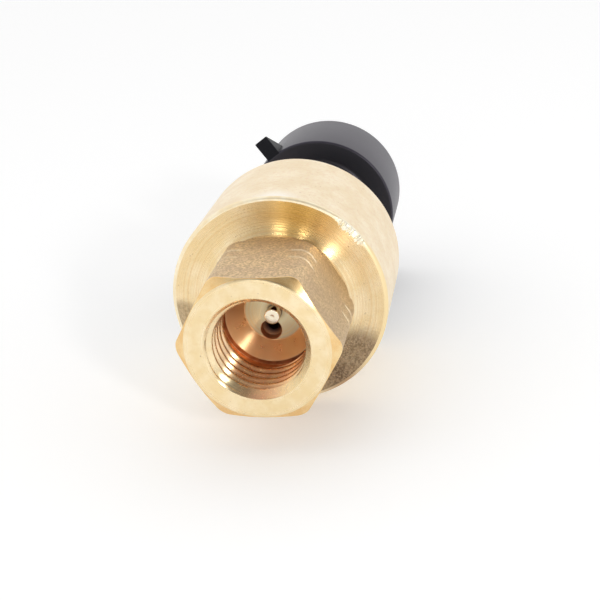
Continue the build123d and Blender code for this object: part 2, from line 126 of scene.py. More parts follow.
SHROUD_START = 45.3
SHROUD_RADIUS = 10.25
SOCKET_RADIUS = 8.7
SOCKET_FLOOR = 47.4
HOUSING_NECK = 7.0
FLANGE_RADIUS = 10.95
FLANGE_END = 28.0
POTTING_RADIUS = 5.6
POTTING_END = 28.6
LATCH_ANGLE = 126
LATCH_WIDTH = 2.0
LATCH_RADIUS = 12.95
LATCH_LENGTH = 3.5
KEY_ANGLES = (90, 235, 305)
KEY_WIDTH = 1.2
KEY_HEIGHT = 0.9
KEY_END = SHROUD_END - 2
BLADE_X = (-4.0, 0.0, 4.0)
BLADE_WIDTH = 1.5
BLADE_THICKNESS = 0.8

# ---- camera, floor and light ------------------------------------------------

CAMERA_PLACE = Vector((0.02497, -0.10530, 0.04934))
CAMERA_RIGHT = Vector((0.9849, 0.1597, -0.0663))
CAMERA_UP = Vector((0.0, 0.3834, 0.9236))
LENS = 68.7

# Each lamp: name, place and size in metres, power in watts.
LAMPS = (
    ("key", (0.287, -0.355, 0.185), (0.05, 0.06), 0.5),
    ("lamp_left", (-0.068, -0.466, 0.134), (0.045, 0.05), 0.085),
    ("lamp_middle", (0.033, -0.475, 0.115), (0.025, 0.05), 0.06),
    ("lamp_right", (0.148, -0.466, 0.042), (0.03, 0.06), 0.085),
)
LAMP_AIM = Vector((0, 0.012, 0))

SKY_LEVEL = 1.02
# Each dimmer patch of the sky: its direction, the cosines where it starts and is full, its level.
SKY_PATCHES = (((0.1, -0.78, 0.55), 0.6, 0.95, 0.45), ((0.5, -0.42, 0.75), 0.75, 0.96, 0.4))
FLOOR_REACH = 3.0


def add_camera():
    data = bpy.data.cameras.new("camera")
    data.lens = LENS
    data.sensor_width = 36
    data.clip_start = 0.005
    camera = bpy.data.objects.new("camera", data)
    back = CAMERA_RIGHT.cross(CAMERA_UP).normalized()
    up = back.cross(CAMERA_RIGHT).normalized()
    turn = Matrix((CAMERA_RIGHT.normalized(), up, back)).transposed()
    camera.matrix_world = Matrix.Translation(CAMERA_PLACE) @ turn.to_4x4()
    bpy.context.scene.collection.objects.link(camera)
    bpy.context.scene.camera = camera


def add_softbox(name, place, size, power):
    """Rectangular soft light turned towards the object."""
    data = bpy.data.lights.new(name, "AREA")
    data.shape = "RECTANGLE"
    data.size, data.size_y = size
    data.energy = power
    light = bpy.data.objects.new(name, data)
    turn = (LAMP_AIM - Vector(place)).to_track_quat("-Z", "Y").to_matrix().to_4x4()
    light.matrix_world = Matrix.Translation(Vector(place)) @ turn
    bpy.context.scene.collection.objects.link(light)


def sky_patch(tree, towards, start, end, level):
    """Brightness that falls from the sky's own to a level around one direction."""
    dot = tree.nodes.new("ShaderNodeVectorMath")
    dot.operation = "DOT_PRODUCT"
    dot.inputs[1].default_value = Vector(towards).normalized()
    tree.links.new(tree.nodes["direction"].outputs["Generated"], dot.inputs[0])
    fall = tree.nodes.new("ShaderNodeMapRange")
    fall.interpolation_type = "SMOOTHSTEP"
    fall.inputs["From Min"].default_value = start
    fall.inputs["From Max"].default_value = end
    fall.inputs["To Min"].default_value = SKY_LEVEL
    fall.inputs["To Max"].default_value = level
    tree.links.new(dot.outputs["Value"], fall.inputs["Value"])
    return fall.outputs["Result"]


def studio_sky():
    """White walls all round, dimmer above the camera and high on the right."""
    world = bpy.data.worlds.new("studio")
    world.use_nodes = True
    tree = world.node_tree
    tree.nodes.new("ShaderNodeTexCoord").name = "direction"
    level = tree.nodes.new("ShaderNodeMath")
    level.operation = "MULTIPLY"
    for patch, socket in zip(SKY_PATCHES, level.inputs):
        tree.links.new(sky_patch(tree, *patch), socket)
    tree.links.new(level.outputs[0], tree.nodes["Background"].inputs["Strength"])
    tree.nodes["Background"].inputs["Color"].default_value = (1.0, 1.0, 1.0, 1.0)
    return world


def floor_paper():
    """Matt white paper with a little light of its own, so that shadows stay pale."""
    paper = bpy.data.materials.new("floor_paper")
    paper.use_nodes = True
    surface = paper.node_tree.nodes["Principled BSDF"]
    surface.inputs["Base Color"].default_value = (0.95, 0.95, 0.95, 1)
    surface.inputs["Roughness"].default_value = 0.9
    surface.inputs["Specular IOR Level"].default_value = 0.1
    surface.inputs["Emission Color"].default_value = (1, 1, 1, 1)
    surface.inputs["Emission Strength"].default_value = 0.17
    return paper


def add_floor():
    """Square floor at the height of the object's lowest point."""
    level = cad_bounds[0][2]
    signs = ((-1, -1), (1, -1), (1, 1), (-1, 1))
    corners = [(x * FLOOR_REACH, y * FLOOR_REACH, level) for x, y in signs]
    mesh = bpy.data.meshes.new("floor")
    mesh.from_pydata(corners, [], [(0, 1, 2, 3)])
    mesh.materials.append(floor_paper())
    floor = bpy.data.objects.new("floor", mesh)
    bpy.context.scene.collection.objects.link(floor)


def add_surroundings():
    """White sky light, soft boxes and the pale floor."""
    scene = bpy.context.scene
    scene.view_settings.view_transform = "Standard"
    scene.view_settings.look = "None"
    scene.world = studio_sky()
    for lamp in LAMPS:
        add_softbox(*lamp)
    add_floor()


# ---- node materials ---------------------------------------------------------


class Finish:
    """A material with one Principled surface and helpers for the nodes that feed it.

    Patterns are placed by the object's own coordinates in millimetres.
    """

    def __init__(self, name, **values):
        self.material = bpy.data.materials.new(name)
        self.material.use_nodes = True
        self.tree = self.material.node_tree
        self.surface = self.tree.nodes["Principled BSDF"]
        for socket, value in values.items():
            self.surface.inputs[socket.replace("_", " ")].default_value = value
        coordinates = self.node("ShaderNodeTexCoord").outputs["Object"]
        self.place = self.vector("SCALE", coordinates, scale=1 / MM)
        axes = self.node("ShaderNodeSeparateXYZ")
        self.link(self.place, axes.inputs[0])
        self.x, self.station, self.z = axes.outputs
        across = self.math("ADD", self.math("POWER", self.x, 2.0), self.math("POWER", self.z, 2.0))
        self.radius = self.math("SQRT", across)

    def node(self, kind, **settings):
        node = self.tree.nodes.new(kind)
        for name, value in settings.items():
            setattr(node, name, value)
        return node

    def link(self, source, socket):
        if isinstance(source, bpy.types.NodeSocket):
            self.tree.links.new(source, socket)
        else:
            socket.default_value = source

    def math(self, operation, a, b=0.0):
        node = self.node("ShaderNodeMath", operation=operation)
        self.link(a, node.inputs[0])
        self.link(b, node.inputs[1])
        return node.outputs[0]

    def vector(self, operation, a, b=None, scale=None):
        node = self.node("ShaderNodeVectorMath", operation=operation)
        self.link(a, node.inputs[0])
        if b is not None:
            self.link(b, node.inputs[1])
        if scale is not None:
            node.inputs["Scale"].default_value = scale
        return node.outputs["Value"] if operation == "DOT_PRODUCT" else node.outputs[0]

    def noise(self, scale, detail=3.0, rough=0.55, stretch=(1, 1, 1)):
        """Noise from 0 to 1 with features about 1/scale mm wide."""
        node = self.node("ShaderNodeTexNoise")
        self.link(self.vector("MULTIPLY", self.place, stretch), node.inputs["Vector"])
        node.inputs["Scale"].default_value = scale
        node.inputs["Detail"].default_value = detail
        node.inputs["Roughness"].default_value = rough
        return node.outputs[0]

    def rings(self, along, scale, detail=2.0):
        """Noise that varies only along one coordinate, as a turning tool leaves it."""
        node = self.node("ShaderNodeTexNoise", noise_dimensions="1D")
        self.link(along, node.inputs["W"])
        node.inputs["Scale"].default_value = scale
        node.inputs["Detail"].default_value = detail
        return node.outputs[0]

    def fit(self, value, low, high, to_low=0.0, to_high=1.0):
        """A value carried from one range to another, smoothly and held at the ends."""
        node = self.node("ShaderNodeMapRange", interpolation_type="SMOOTHSTEP")
        self.link(value, node.inputs["Value"])
        ends = {"From Min": low, "From Max": high, "To Min": to_low, "To Max": to_high}
        for socket, number in ends.items():
            node.inputs[socket].default_value = number
        return node.outputs["Result"]

    def clouds(self, scale):
        """Soft patches from 0 to 1."""
        return self.fit(self.noise(scale), 0.35, 0.7)

    def blend(self, share, first, second):
        """Mix of two colours."""
        node = self.node("ShaderNodeMix", data_type="RGBA")
        self.link(share, node.inputs["Factor"])
        self.link(first if isinstance(first, bpy.types.NodeSocket) else (*first, 1), node.inputs["A"])
        self.link(second if isinstance(second, bpy.types.NodeSocket) else (*second, 1), node.inputs["B"])
        return node.outputs["Result"]

    def near(self, point, size):
        """1 at a point in millimetres, falling to 0 at a distance of size."""
        gap = self.vector("SUBTRACT", self.place, point)
        return self.fit(self.math("SQRT", self.vector("DOT_PRODUCT", gap, gap)), 0.0, size, 1.0, 0.0)

    def bump(self, height, depth):
        """Bump in millimetres on top of what is already there."""
        node = self.node("ShaderNodeBump")
        node.inputs["Strength"].default_value = 1.0
        node.inputs["Distance"].default_value = depth * MM
        self.link(height, node.inputs["Height"])
        normal = self.surface.inputs["Normal"]
        if normal.is_linked:
            self.link(normal.links[0].from_socket, node.inputs["Normal"])
        self.link(node.outputs[0], normal)

    def turned(self, amount):
        """Highlights drawn out across the circular marks of a lathe tool."""
        along_marks = self.vector("NORMALIZE", self.vector("CROSS_PRODUCT", (0, 1, 0), self.place))
        self.link(along_marks, self.surface.inputs["Tangent"])
        self.surface.inputs["Anisotropic"].default_value = amount
        self.surface.inputs["Anisotropic Rotation"].default_value = 0.25

    def colour(self, source):
        self.link(source, self.surface.inputs["Base Color"])

    def roughness(self, source):
        self.link(source, self.surface.inputs["Roughness"])


BRASS = (0.88, 0.69, 0.39)
BRASS_PALE = (0.95, 0.79, 0.52)
BRASS_GOLD = (0.88, 0.62, 0.27)
BRASS_AMBER = (0.97, 0.56, 0.20)
BRASS_BROWN = (0.33, 0.20, 0.12)

# Each painted dark reflection on the collar's face, where it mirrors the shaded hexagon and floor: its
# middle, its reach and its strength.
DARK_REFLECTION_PATCHES = (
    ((8.4, 13.0, -7.6), 7.6, 0.85),
    ((5.4, 13.0, -10.4), 5.6, 0.7),
    ((-11.4, 13.0, -1.8), 3.4, 0.6),
)


def brass_face():
    """Front face round the port: fine rings about the axis and a few specks."""
    finish = Finish("brass_face", Metallic=1.0, Roughness=0.3)
    tone = finish.blend(finish.clouds(0.5), BRASS, BRASS_PALE)
    mottle = finish.fit(finish.noise(2.6, 3.0, 0.6), 0.5, 0.75, 0.0, 0.35)
    tone = finish.blend(mottle, tone, (0.84, 0.62, 0.34))
    specks = finish.fit(finish.noise(3.4, 2.0), 0.68, 0.75)
    tone = finish.blend(finish.math("MULTIPLY", specks, 0.6), tone, BRASS_BROWN)
    finish.colour(tone)
    finish.roughness(finish.fit(finish.rings(finish.radius, 3.0), 0.3, 0.7, 0.26, 0.34))
    finish.bump(finish.rings(finish.radius, 9.0), 0.003)
    finish.turned(0.6)
    return finish.material


def brass_collar():
    """Collar's front face: coarser rings, a painted orange reflection at the top, grainy painted dark
    reflections below and left.
    """
    finish = Finish("brass_collar", Metallic=1.0, Roughness=0.3)
    tone = finish.blend(finish.clouds(0.35), BRASS, BRASS_PALE)
    # Painted reflection: orange at the top, where the face mirrors the hexagon's top flat.
    tone = finish.blend(finish.near((3.0, 13.0, 10.8), 8.5), tone, (0.78, 0.48, 0.13))
    rings = finish.fit(finish.rings(finish.radius, 4.0, 4.0), 0.35, 0.7)
    tone = finish.blend(finish.math("MULTIPLY", rings, 0.2), tone, BRASS_AMBER)
    specks = finish.fit(finish.noise(3.4, 2.0), 0.68, 0.75)
    tone = finish.blend(finish.math("MULTIPLY", specks, 0.6), tone, BRASS_BROWN)
    grain = finish.noise(4.5, 2.0, 0.6)
    # Painted dark reflections low on the right and on the left, grainy at their edges.
    dark_reflection_tone = finish.blend(finish.fit(grain, 0.35, 0.65), (0.15, 0.095, 0.06), (0.40, 0.29, 0.19))
    for place, reach, strength in DARK_REFLECTION_PATCHES:
        edge = finish.math("ADD", finish.near(place, reach), finish.math("MULTIPLY", grain, 0.4))
        share = finish.math("MULTIPLY", finish.fit(edge, 0.35, 0.85), strength)
        tone = finish.blend(share, tone, dark_reflection_tone)
    finish.colour(tone)
    finish.roughness(finish.fit(rings, 0.0, 1.0, 0.24, 0.30))
    finish.bump(finish.rings(finish.radius, 9.0), 0.003)
    finish.turned(1.0)
    return finish.material


def brass_drawn():
    """Hexagon flats as the bar was drawn: matt, grainy, browner, with bright marks on the corners;
    painted paler on the left and darker on the right.
    """
    finish = Finish("brass_drawn", Metallic=1.0, Roughness=0.45)
    grain = finish.noise(4.6, 3.0, 0.65)
    tone = finish.blend(finish.fit(grain, 0.32, 0.68), (0.52, 0.39, 0.25), (0.90, 0.70, 0.44))
    cloud = finish.fit(finish.noise(0.6, 2.0), 0.4, 0.65)
    tone = finish.blend(finish.math("MULTIPLY", cloud, 0.35), tone, (0.56, 0.41, 0.29))
    # Painted light and shade: paler towards the left flats, which mirror the bright sky, and darker
    # towards the right flat.
    left = finish.fit(finish.x, -8.5, -6.0, 0.6, 0.0)
    right = finish.fit(finish.x, 4.0, 7.0, 0.0, 0.4)
    tone = finish.blend(right, tone, (0.44, 0.32, 0.19))
    tone = finish.blend(left, tone, BRASS_PALE)
    corner = finish.fit(finish.radius, 8.3, 8.5)
    for mark in MARK_STATIONS:
        gap = finish.math("ABSOLUTE", finish.math("SUBTRACT", finish.station, mark))
        cut = finish.math("MULTIPLY", finish.fit(gap, 0.05, 0.2, 0.8, 0.0), corner)
        tone = finish.blend(cut, tone, (1.0, 0.86, 0.60))
    finish.colour(tone)
    finish.roughness(finish.fit(grain, 0.3, 0.7, 0.62, 0.52))
    finish.bump(grain, 0.035)
    return finish.material


def brass_bore():
    """Bored, threaded and countersunk port, with painted light: redder with depth and darker below as
    shade, paler at the sides as reflection.
    """
    finish = Finish("brass_bore", Metallic=1.0, Roughness=0.28)
    # Painted shade and reflection: redder with depth into the port; redder and then dark brown low down,
    # where the bore mirrors the dim sky overhead.
    deep = finish.fit(finish.station, 0.3, 3.4)
    tone = finish.blend(finish.near((0.0, 0.4, -5.4), 4.0), BRASS, (0.88, 0.47, 0.26))
    tone = finish.blend(deep, tone, (0.90, 0.44, 0.20))
    tone = finish.blend(finish.near((0.8, 4.2, -5.2), 4.2), tone, (0.54, 0.22, 0.10))
    # Painted reflection: paler towards both sides, where the bore mirrors the bright floor and walls.
    tone = finish.blend(finish.fit(finish.x, -4.6, -2.4, 0.65, 0.0), tone, BRASS_PALE)
    tone = finish.blend(finish.fit(finish.x, 3.4, 4.8, 0.0, 0.35), tone, BRASS_PALE)
    cloud = finish.fit(finish.noise(0.8), 0.4, 0.7, 0.0, 0.3)
    finish.colour(finish.blend(cloud, tone, BRASS_GOLD))
    finish.roughness(finish.fit(finish.noise(1.2), 0.3, 0.7, 0.22, 0.29))
    finish.bump(finish.rings(finish.radius, 7.0), 0.003)
    finish.turned(0.85)
    return finish.material


def brass_chamfer():
    """Turned corners of the hexagon's front end, painted a deeper gold than the face as a dark golden
    reflection.
    """
    finish = Finish("brass_chamfer", Metallic=1.0, Roughness=0.25)
    finish.colour(finish.blend(finish.clouds(0.6), (0.84, 0.55, 0.24), (0.90, 0.67, 0.35)))
    finish.bump(finish.rings(finish.radius, 9.0), 0.003)
    finish.turned(0.2)
    return finish.material


def brass_floor():
    """Flat floor of the seat: faced, with open tool rings, painted pale to stand in for the bright
    outside that it mirrors.
    """
    finish = Finish("brass_floor", Metallic=0.5, Roughness=0.3)
    rings = finish.fit(finish.rings(finish.radius, 5.0, 3.0), 0.35, 0.65)
    finish.colour(finish.blend(rings, (1.0, 0.90, 0.54), (1.0, 0.95, 0.66)))
    finish.bump(rings, 0.005)
    finish.turned(0.6)
    return finish.material


def brass_relief():
    """Relief groove behind the thread: rough from the tool, and painted dark as shade in the groove."""
    finish = Finish("brass_relief", Metallic=1.0, Roughness=0.4)
    finish.colour(finish.blend(finish.clouds(1.0), (0.55, 0.22, 0.09), (0.76, 0.36, 0.16)))
    finish.bump(finish.rings(finish.station, 8.0), 0.006)
    return finish.material


def brass_seat():
    """Cone of the flare seat: burnished by the fittings that were screwed against it, and painted deep
    orange for the light that bounces deep in the port.
    """
    finish = Finish("brass_seat", Metallic=0.8)
    finish.colour(finish.blend(finish.noise(0.6), (1.0, 0.61, 0.29), (1.0, 0.71, 0.39)))
    finish.roughness(finish.fit(finish.noise(1.0), 0.3, 0.7, 0.27, 0.31))
    finish.bump(finish.rings(finish.radius, 7.0), 0.001)
    finish.turned(0.85)
    return finish.material


def brass_passage():
    """Drilled gas passages: painted dark as shade, near black deeper in."""
    finish = Finish("brass_passage", Metallic=0.6, Roughness=0.5)
    # Painted shade: near black from a little way down each passage.
    depth = finish.fit(finish.station, SEAT_FLOOR + 0.9, SEAT_FLOOR + 1.5)
    # Painted light and shade at the mouths: the lower passage lit, the upper one in the pin's shade.
    mouth = finish.blend(finish.fit(finish.z, -1.0, 1.0), (1.0, 0.52, 0.25), (0.24, 0.12, 0.05))
    finish.colour(finish.blend(depth, mouth, (0.05, 0.02, 0.015)))
    finish.bump(finish.noise(2.5, 3.0), 0.02)
    return finish.material


def brass_rim():
    """Rounded rim of the collar: chipped, golden on the right, with a painted highlight on its chips and
    a painted dark reflection low on the right.
    """
    finish = Finish("brass_rim", Metallic=0.75, Roughness=0.4)
    # Painted light: paler than the brass, lifting the dark reflection along the top of the rim; golden
    # again on the right.
    tone = finish.blend(finish.clouds(0.8), BRASS_PALE, (1.0, 0.90, 0.68))
    tone = finish.blend(finish.fit(finish.x, 6.0, 11.0), tone, (0.93, 0.74, 0.42))
    # Painted highlight: near white on the chips at the upper right, where the key lamp glints on them.
    tone = finish.blend(finish.near((8.7, 13.0, 8.4), 3.4), tone, (1.0, 0.95, 0.80))
    # Painted dark reflection low on the right, as on the collar's face.
    finish.colour(finish.blend(finish.near((7.2, 13.0, -10.2), 5.0), tone, (0.50, 0.34, 0.20)))
    finish.bump(finish.noise(2.2, 3.0), 0.015)
    return finish.material


def brass_side():
    """Outside of the collar: turned, with pink and orange mottling and a painted highlight band at the
    top.
    """
    finish = Finish("brass_side", Metallic=1.0, Roughness=0.38)
    tone = finish.blend(finish.clouds(0.3), (0.88, 0.73, 0.50), (0.95, 0.83, 0.62))
    mottle = finish.fit(finish.noise(2.6, 3.0, 0.65), 0.48, 0.68)
    tone = finish.blend(finish.math("MULTIPLY", mottle, 0.4), tone, (0.82, 0.58, 0.40))
    specks = finish.fit(finish.noise(3.0, 2.0), 0.70, 0.76)
    tone = finish.blend(finish.math("MULTIPLY", specks, 0.4), tone, BRASS_BROWN)
    # Painted highlight: a near white band along the top of the side, next to the rim.
    finish.colour(finish.blend(finish.near((0.5, 12.8, 12.4), 3.6), tone, (1.0, 0.96, 0.88)))
    finish.roughness(finish.fit(finish.noise(2.0), 0.3, 0.7, 0.32, 0.45))
    finish.bump(finish.rings(finish.station, 6.0), 0.003)
    finish.turned(0.3)
    return finish.material


def brass_pin():
    """Depressor pin: polished tip, browner shaft."""
    finish = Finish("brass_pin", Metallic=1.0, Roughness=0.2)
    tip = finish.fit(finish.station, PIN_TIP, PIN_TIP + 0.25, 1.0, 0.0)
    finish.colour(finish.blend(tip, (0.45, 0.30, 0.17), (0.92, 0.82, 0.63)))
    finish.bump(finish.rings(finish.radius, 14.0), 0.003)
    finish.turned(0.4)
    return finish.material


def moulded(name, base, grain_depth=0.01, **values):
    """Moulded plastic with a fine spark-eroded grain and faint flow shades."""
    finish = Finish(name, **values)
    lighter = tuple(c * 1.25 + 0.001 for c in base)
    finish.colour(finish.blend(finish.clouds(0.25), base, lighter))
    rough = values.get("Roughness", 0.4)
    finish.roughness(finish.fit(finish.noise(0.5), 0.3, 0.7, rough - 0.02, rough + 0.02))
    finish.bump(finish.noise(9.0, 2.0), grain_depth)
    return finish.material


def shroud_plastic():
    """Black connector moulding, with painted light: greyer purple on the outside of the shroud, darker
    elsewhere as shade.
    """
    shine = {"Specular_IOR_Level": 0.6, "Specular_Tint": (0.93, 0.88, 1.0, 1.0)}
    finish = Finish("connector_plastic", Roughness=0.36, **shine)
    # Painted light and shade: the outside of the shroud lighter and greyer purple where light falls on
    # it, the rest near black as shade.
    outside = finish.fit(finish.radius, SHROUD_RADIUS - 0.35, SHROUD_RADIUS - 0.02)
    painted_lit_outside = finish.blend(finish.clouds(0.25), (0.014, 0.011, 0.020), (0.019, 0.015, 0.026))
    finish.colour(finish.blend(outside, (0.007, 0.008, 0.011), painted_lit_outside))
    finish.bump(finish.noise(9.0, 2.0), 0.01)
    return finish.material


def rolled(name, base, roughness=0.28, stretch=(1, 1, 8)):
    """Rolled or stamped sheet metal with a fine directional grain."""
    finish = Finish(name, Metallic=1.0, Roughness=roughness)
    darker = tuple(c * 0.8 for c in base)
    grain = finish.noise(3.0, 3.0, 0.6, stretch)
    finish.colour(finish.blend(finish.fit(grain, 0.3, 0.7), darker, base))
    finish.roughness(finish.fit(grain, 0.3, 0.7, roughness + 0.08, roughness - 0.06))
    finish.bump(grain, 0.006)
    return finish.material


# ---- mesh helpers -----------------------------------------------------------


def add_object(name, mesh):
    piece = bpy.data.objects.new(name, mesh)
    bpy.context.scene.collection.objects.link(piece)
    return piece


def shade(mesh):
    """Smooth shading with edges kept sharp where faces meet at more than 32 degrees."""
    mesh.shade_smooth()
    mesh.set_sharp_from_angle(angle=radians(32))


def rounded(outline, steps=4):
    """Outline points (station, radius, round) with each corner replaced by an arc of that size."""
    points = []
    for index, (y, r, size) in enumerate(outline):
        here = Vector((y, r))
        if not size or index in (0, len(outline) - 1):
            points.append((y, r))
            continue
        back = Vector(outline[index - 1][:2]) - here
        on = Vector(outline[index + 1][:2]) - here
        half = back.angle(on) / 2
        reach = min(size / tan(half), 0.45 * back.length, 0.45 * on.length)
        centre = here + (back.normalized() + on.normalized()).normalized() * (reach / cos(half))
        start = here + back.normalized() * reach - centre
        end = here + on.normalized() * reach - centre
        sweep = atan2(start.x * end.y - start.y * end.x, start.dot(end))
        for step in range(steps + 1):
            bend = atan2(start.y, start.x) + sweep * step / steps
            points.append((centre.x + start.length * cos(bend), centre.y + start.length * sin(bend)))
    return points


def ring_mesh(name, columns, rows, seam_shift=None):
    """Closed mesh of revolution-like rows about the axis.

    columns are angles from +X towards +Z; rows are (stations, radii, zone) with one value per
    column or one for all, and zone is the material index of the faces up to the next row.
    The first and last rows lie on the axis.  seam_shift maps a row to the row that it meets
    after a full turn, for rows that climb like a thread.
    """
    count = len(columns)
    stations = np.array([np.broadcast_to(row[0], count) for row in rows]) * MM
    radii = np.array([np.broadcast_to(row[1], count) for row in rows]) * MM
    points = np.stack([radii * np.cos(columns), stations, radii * np.sin(columns)], axis=-1)
    shift = seam_shift or (lambda row: row)
    corners, zones = [], []
    for row in range(len(rows) - 1):
        for column in range(count):
            after = (column + 1) % count
            upper, lower = (row, row + 1) if after else (shift(row), shift(row + 1))
            here, there = row * count + column, upper * count + after
            corners.append((here, here + count, lower * count + after, there))
            zones.append(rows[row][2])
    mesh = bpy.data.meshes.new(name)
    mesh.from_pydata(points.reshape(-1, 3).tolist(), [], corners)
    mesh.polygons.foreach_set("material_index", zones)
    tidy = bmesh.new()
    tidy.from_mesh(mesh)
    bmesh.ops.remove_doubles(tidy, verts=tidy.verts, dist=0.0015 * MM)
    bmesh.ops.dissolve_degenerate(tidy, edges=tidy.edges, dist=0.0005 * MM)
    bmesh.ops.recalc_face_normals(tidy, faces=tidy.faces)
    tidy.to_mesh(mesh)
    tidy.free()
    return mesh


def combine(piece, tool, operation):
    """Joins a tool mesh to a piece or cuts it away, and removes the tool."""
    modifier = piece.modifiers.new("combine", "BOOLEAN")
    modifier.operation = operation
    modifier.solver = "EXACT"
    modifier.object = tool
    graph = bpy.context.evaluated_depsgraph_get()
    result = bpy.data.meshes.new_from_object(piece.evaluated_get(graph), depsgraph=graph)
    piece.modifiers.clear()
    piece.data = result
    bpy.data.objects.remove(tool)


def rod(name, x, z, outline, sides=64):
    """Round tool along Y centred at (x, z), from an outline of (station, radius)."""
    columns = np.linspace(0, 2 * pi, sides, endpoint=False)
    mesh = ring_mesh(name, columns, [(y, r, 0) for y, r in outline])
    mesh.transform(Matrix.Translation((x * MM, 0, z * MM)))
    return add_object(name, mesh)


# ---- brass body -------------------------------------------------------------

FACE, FLOOR, CHAMFER, COLLAR, DRAWN, BORE, SIDE, RIM, RELIEF, PASSAGE, SEAT = range(11)

# In the order of the zones above.
BODY_FINISHES = (
    brass_face,
    brass_floor,
    brass_chamfer,
    brass_collar,
    brass_drawn,
    brass_bore,
    brass_side,
    brass_rim,
    brass_relief,
    brass_passage,
    brass_seat,
)


def body_columns():
    """One degree apart, closer at the rounded hexagon corners and along the nicked rim."""
    corner_steps = (-5.5, -4.5, -3.5, -2.5, -1.5, -0.5, 0.5, 1.5, 2.5, 3.5, 4.5, 5.5)
    corners = [60 * corner + step for corner in range(6) for step in corner_steps]
    rim = np.arange(34.5, 54, 1.0)
    angles = np.concatenate([np.arange(0, 360, 1.0), np.array(corners) % 360, rim])
    return np.radians(np.unique(np.round(angles, 3)))


def hexagon_radius(columns):
    """Distance from the axis to the hexagon with slightly rounded corners, at each angle."""
    from_flat = (columns % (pi / 3)) - pi / 6
    flat = HEX_APOTHEM / np.cos(from_flat)
    from_corner = pi / 6 - np.abs(from_flat)
    centre = (HEX_APOTHEM - HEX_CORNER_ROUND) / cos(pi / 6)
    inside = np.clip(HEX_CORNER_ROUND**2 - (centre * np.sin(from_corner)) ** 2, 0, None)
    arc = centre * np.cos(from_corner) + np.sqrt(inside)
    tangent = np.arctan2(HEX_CORNER_ROUND * sin(pi / 6), centre + HEX_CORNER_ROUND * cos(pi / 6))
    return np.where(from_corner < tangent, arc, flat)


def thread_radius(turns):
    """Radius of the internal thread; crests are at whole turns and roots half way between."""
    from_crest = np.abs((turns + 0.5) % 1 - 0.5)
    crest_land, root_land = 0.118, 0.437
    share = np.clip((from_crest - crest_land) / (root_land - crest_land), 0, 1)
    eased = share - 0.06 * np.sin(2 * pi * share)
    return THREAD_CREST + THREAD_DEPTH * eased


def thread_rows(columns):
    """Rows that climb with the thread, held between the mouth's edge and the relief groove."""
    turn = columns / (2 * pi)
    last = int(np.ceil((1 + THREAD_END / THREAD_PITCH) * THREAD_ROWS))
    rows = []
    for row in range(last + 1):
        station = np.clip((row / THREAD_ROWS - turn) * THREAD_PITCH, EDGE, THREAD_END)
        wall = thread_radius(station / THREAD_PITCH + turn + THREAD_PHASE)
        mouth = MOUTH_RADIUS - station
        rows.append((station, np.maximum(wall, mouth), BORE))
    return rows


def chamfer_rows(hexagon):
    """Small round of the face's edge and the front chamfer; the last row starts the flats."""
    edge = FACE_EDGE_ROUND
    rows = [
        (0.0, FACE_RADIUS - edge, FACE),
        (edge * 0.06, FACE_RADIUS - edge * 0.5, FACE),
        (edge * 0.24, FACE_RADIUS - edge * 0.06, FACE),
        (edge * 0.48, FACE_RADIUS + edge * 0.22, CHAMFER),
    ]
    start, inner = rows[-1][:2]
    end = start + np.maximum(hexagon - inner, 0.01) * CHAMFER_SLOPE
    for share in (0.3, 0.6, 0.85, 0.97):
        rows.append((start + (end - start) * share, inner + (hexagon - inner) * share, CHAMFER))
    rows.append((end + 0.03, hexagon - 0.004, CHAMFER))
    rows.append((end + 0.09, hexagon, DRAWN))
    return rows


def flat_rows(columns, hexagon, start):
    """Hexagon flats from a start station, with two fine tool marks across the corners."""
    rows = []
    from_corner = np.degrees(pi / 6 - np.abs((columns % (pi / 3)) - pi / 6))
    mark_depth = MARK_DEPTH * np.clip((MARK_SPREAD - from_corner) / 6, 0, 1)
    for share in np.linspace(0, 1, 8)[1:-1]:
        rows.append((start + (MARK_STATIONS[0] - 0.4 - start) * share, hexagon, DRAWN))
    profile = ((-0.16, 0), (-0.1, 0.7), (-0.02, 1), (0.06, 0.8), (0.16, -0.25), (0.28, 0), (0.9, 0))
    for mark in MARK_STATIONS:
        for offset, depth in profile:
            rows.append((mark + offset, hexagon - mark_depth * depth, DRAWN))
    rows.append((10.2, hexagon, DRAWN))
    return rows


def neck_rows(hexagon):
    """Turned-down neck behind the hexagon and its dished root in the collar's face."""
    limits = (
        (NECK_START - 0.5, 9.0),
        (NECK_START - 0.25, 8.86),
        (NECK_START, 8.74),
        (NECK_FULL - 0.3, NECK_RADIUS + 0.1),
        (NECK_FULL, NECK_RADIUS),
    )
    rows = [(station, np.minimum(hexagon, limit), DRAWN) for station, limit in limits]
    rows.append((HEX_END - NECK_ROOT_DEPTH, np.minimum(hexagon, NECK_RADIUS), COLLAR))
    for share in np.linspace(0, 1, 11):
        station = HEX_END - NECK_ROOT_DEPTH * (1 - share) ** 2
        rows.append((station, NECK_RADIUS + NECK_ROOT_REACH * share, COLLAR))
    return rows


def hexagon_rows(columns):
    """Front chamfer, flats and neck, out to the collar's face."""
    hexagon = hexagon_radius(columns)
    front = chamfer_rows(hexagon)
    return front + flat_rows(columns, hexagon, front[-1][0]) + neck_rows(hexagon)


def rim_wear(columns, random):
    """Depth of the chips along the collar's front rim, worst on the upper right."""
    from_worst = (np.degrees(columns) - CHIPS_ANGLE) / CHIPS_SPREAD
    worst = np.clip(1.3 * np.exp(-(from_worst**4)), 0, 1)
    chips = np.abs(random.normal(0, 0.28, len(columns))) + 0.16
    rough = np.abs(random.normal(0, 0.008, len(columns)))
    return np.clip(chips, 0, CHIPS_DEEPEST) * worst + rough


